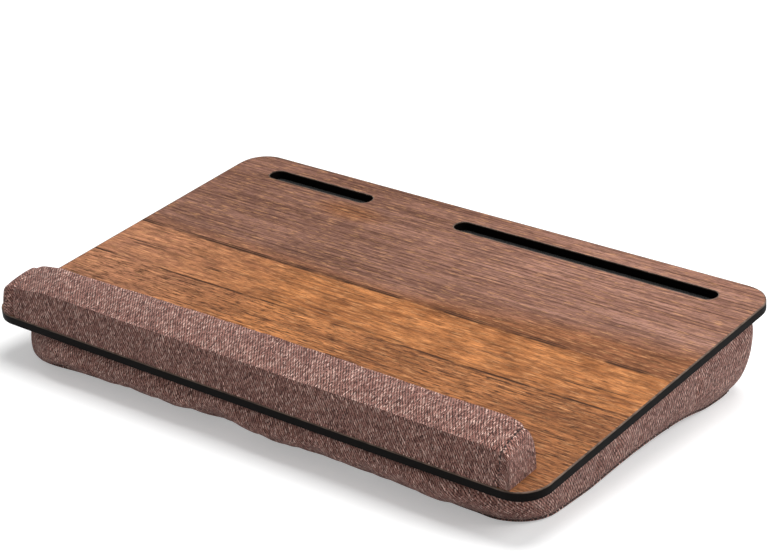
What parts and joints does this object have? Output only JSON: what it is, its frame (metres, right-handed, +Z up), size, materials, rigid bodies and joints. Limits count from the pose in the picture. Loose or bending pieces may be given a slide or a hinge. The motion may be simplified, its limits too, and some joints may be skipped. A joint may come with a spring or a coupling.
{
  "type": "laptop bed table",
  "caption": "Lap desk: wood-look board with a phone slot and a tablet slot, a cloth wrist rest along the front, on a wedge cushion with an arched underside.",
  "frame": {"origin": "on the floor, at the centre of the overall box seen from above", "axes": "+X to the user's right along the board, +Y to the rear, away from the user, +Z up"},
  "size_m": [0.55, 0.3488, 0.0867],
  "materials": {
    "fibreboard": "raw fibreboard",
    "wood_laminate": "matt rustic wood print",
    "black_laminate": "matt",
    "black_band": "satin",
    "foam": "open-cell foam",
    "heather_cloth": "brown heather weave",
    "black_cloth": "plain black cloth",
    "adhesive_tape": "foam tape",
    "fibre_filling": "loose fibre",
    "hook_tape": "hook tape",
    "loop_tape": "loop tape"
  },
  "bodies": {
    "root": {"board_core": "fibreboard", "top_laminate": "wood_laminate", "backing_laminate": "black_laminate", "edge_band": "black_band", "phone_slot_edging": "black_band", "tablet_slot_edging": "black_band", "wrist_rest_foam": "foam", "wrist_rest_cover": "heather_cloth", "wrist_rest_end_left": "heather_cloth", "wrist_rest_end_right": "heather_cloth", "wrist_rest_base_panel": "black_cloth", "wrist_rest_tape": "adhesive_tape", "cushion_top_panel": "black_cloth", "cushion_gusset": "heather_cloth", "cushion_bottom_panel": "heather_cloth", "cushion_divider": "black_cloth", "front_bolster_filling": "fibre_filling", "rear_bolster_filling": "fibre_filling", "cushion_hook_strips": "hook_tape", "cushion_loop_strips": "loop_tape"}
  },
  "joints": []
}
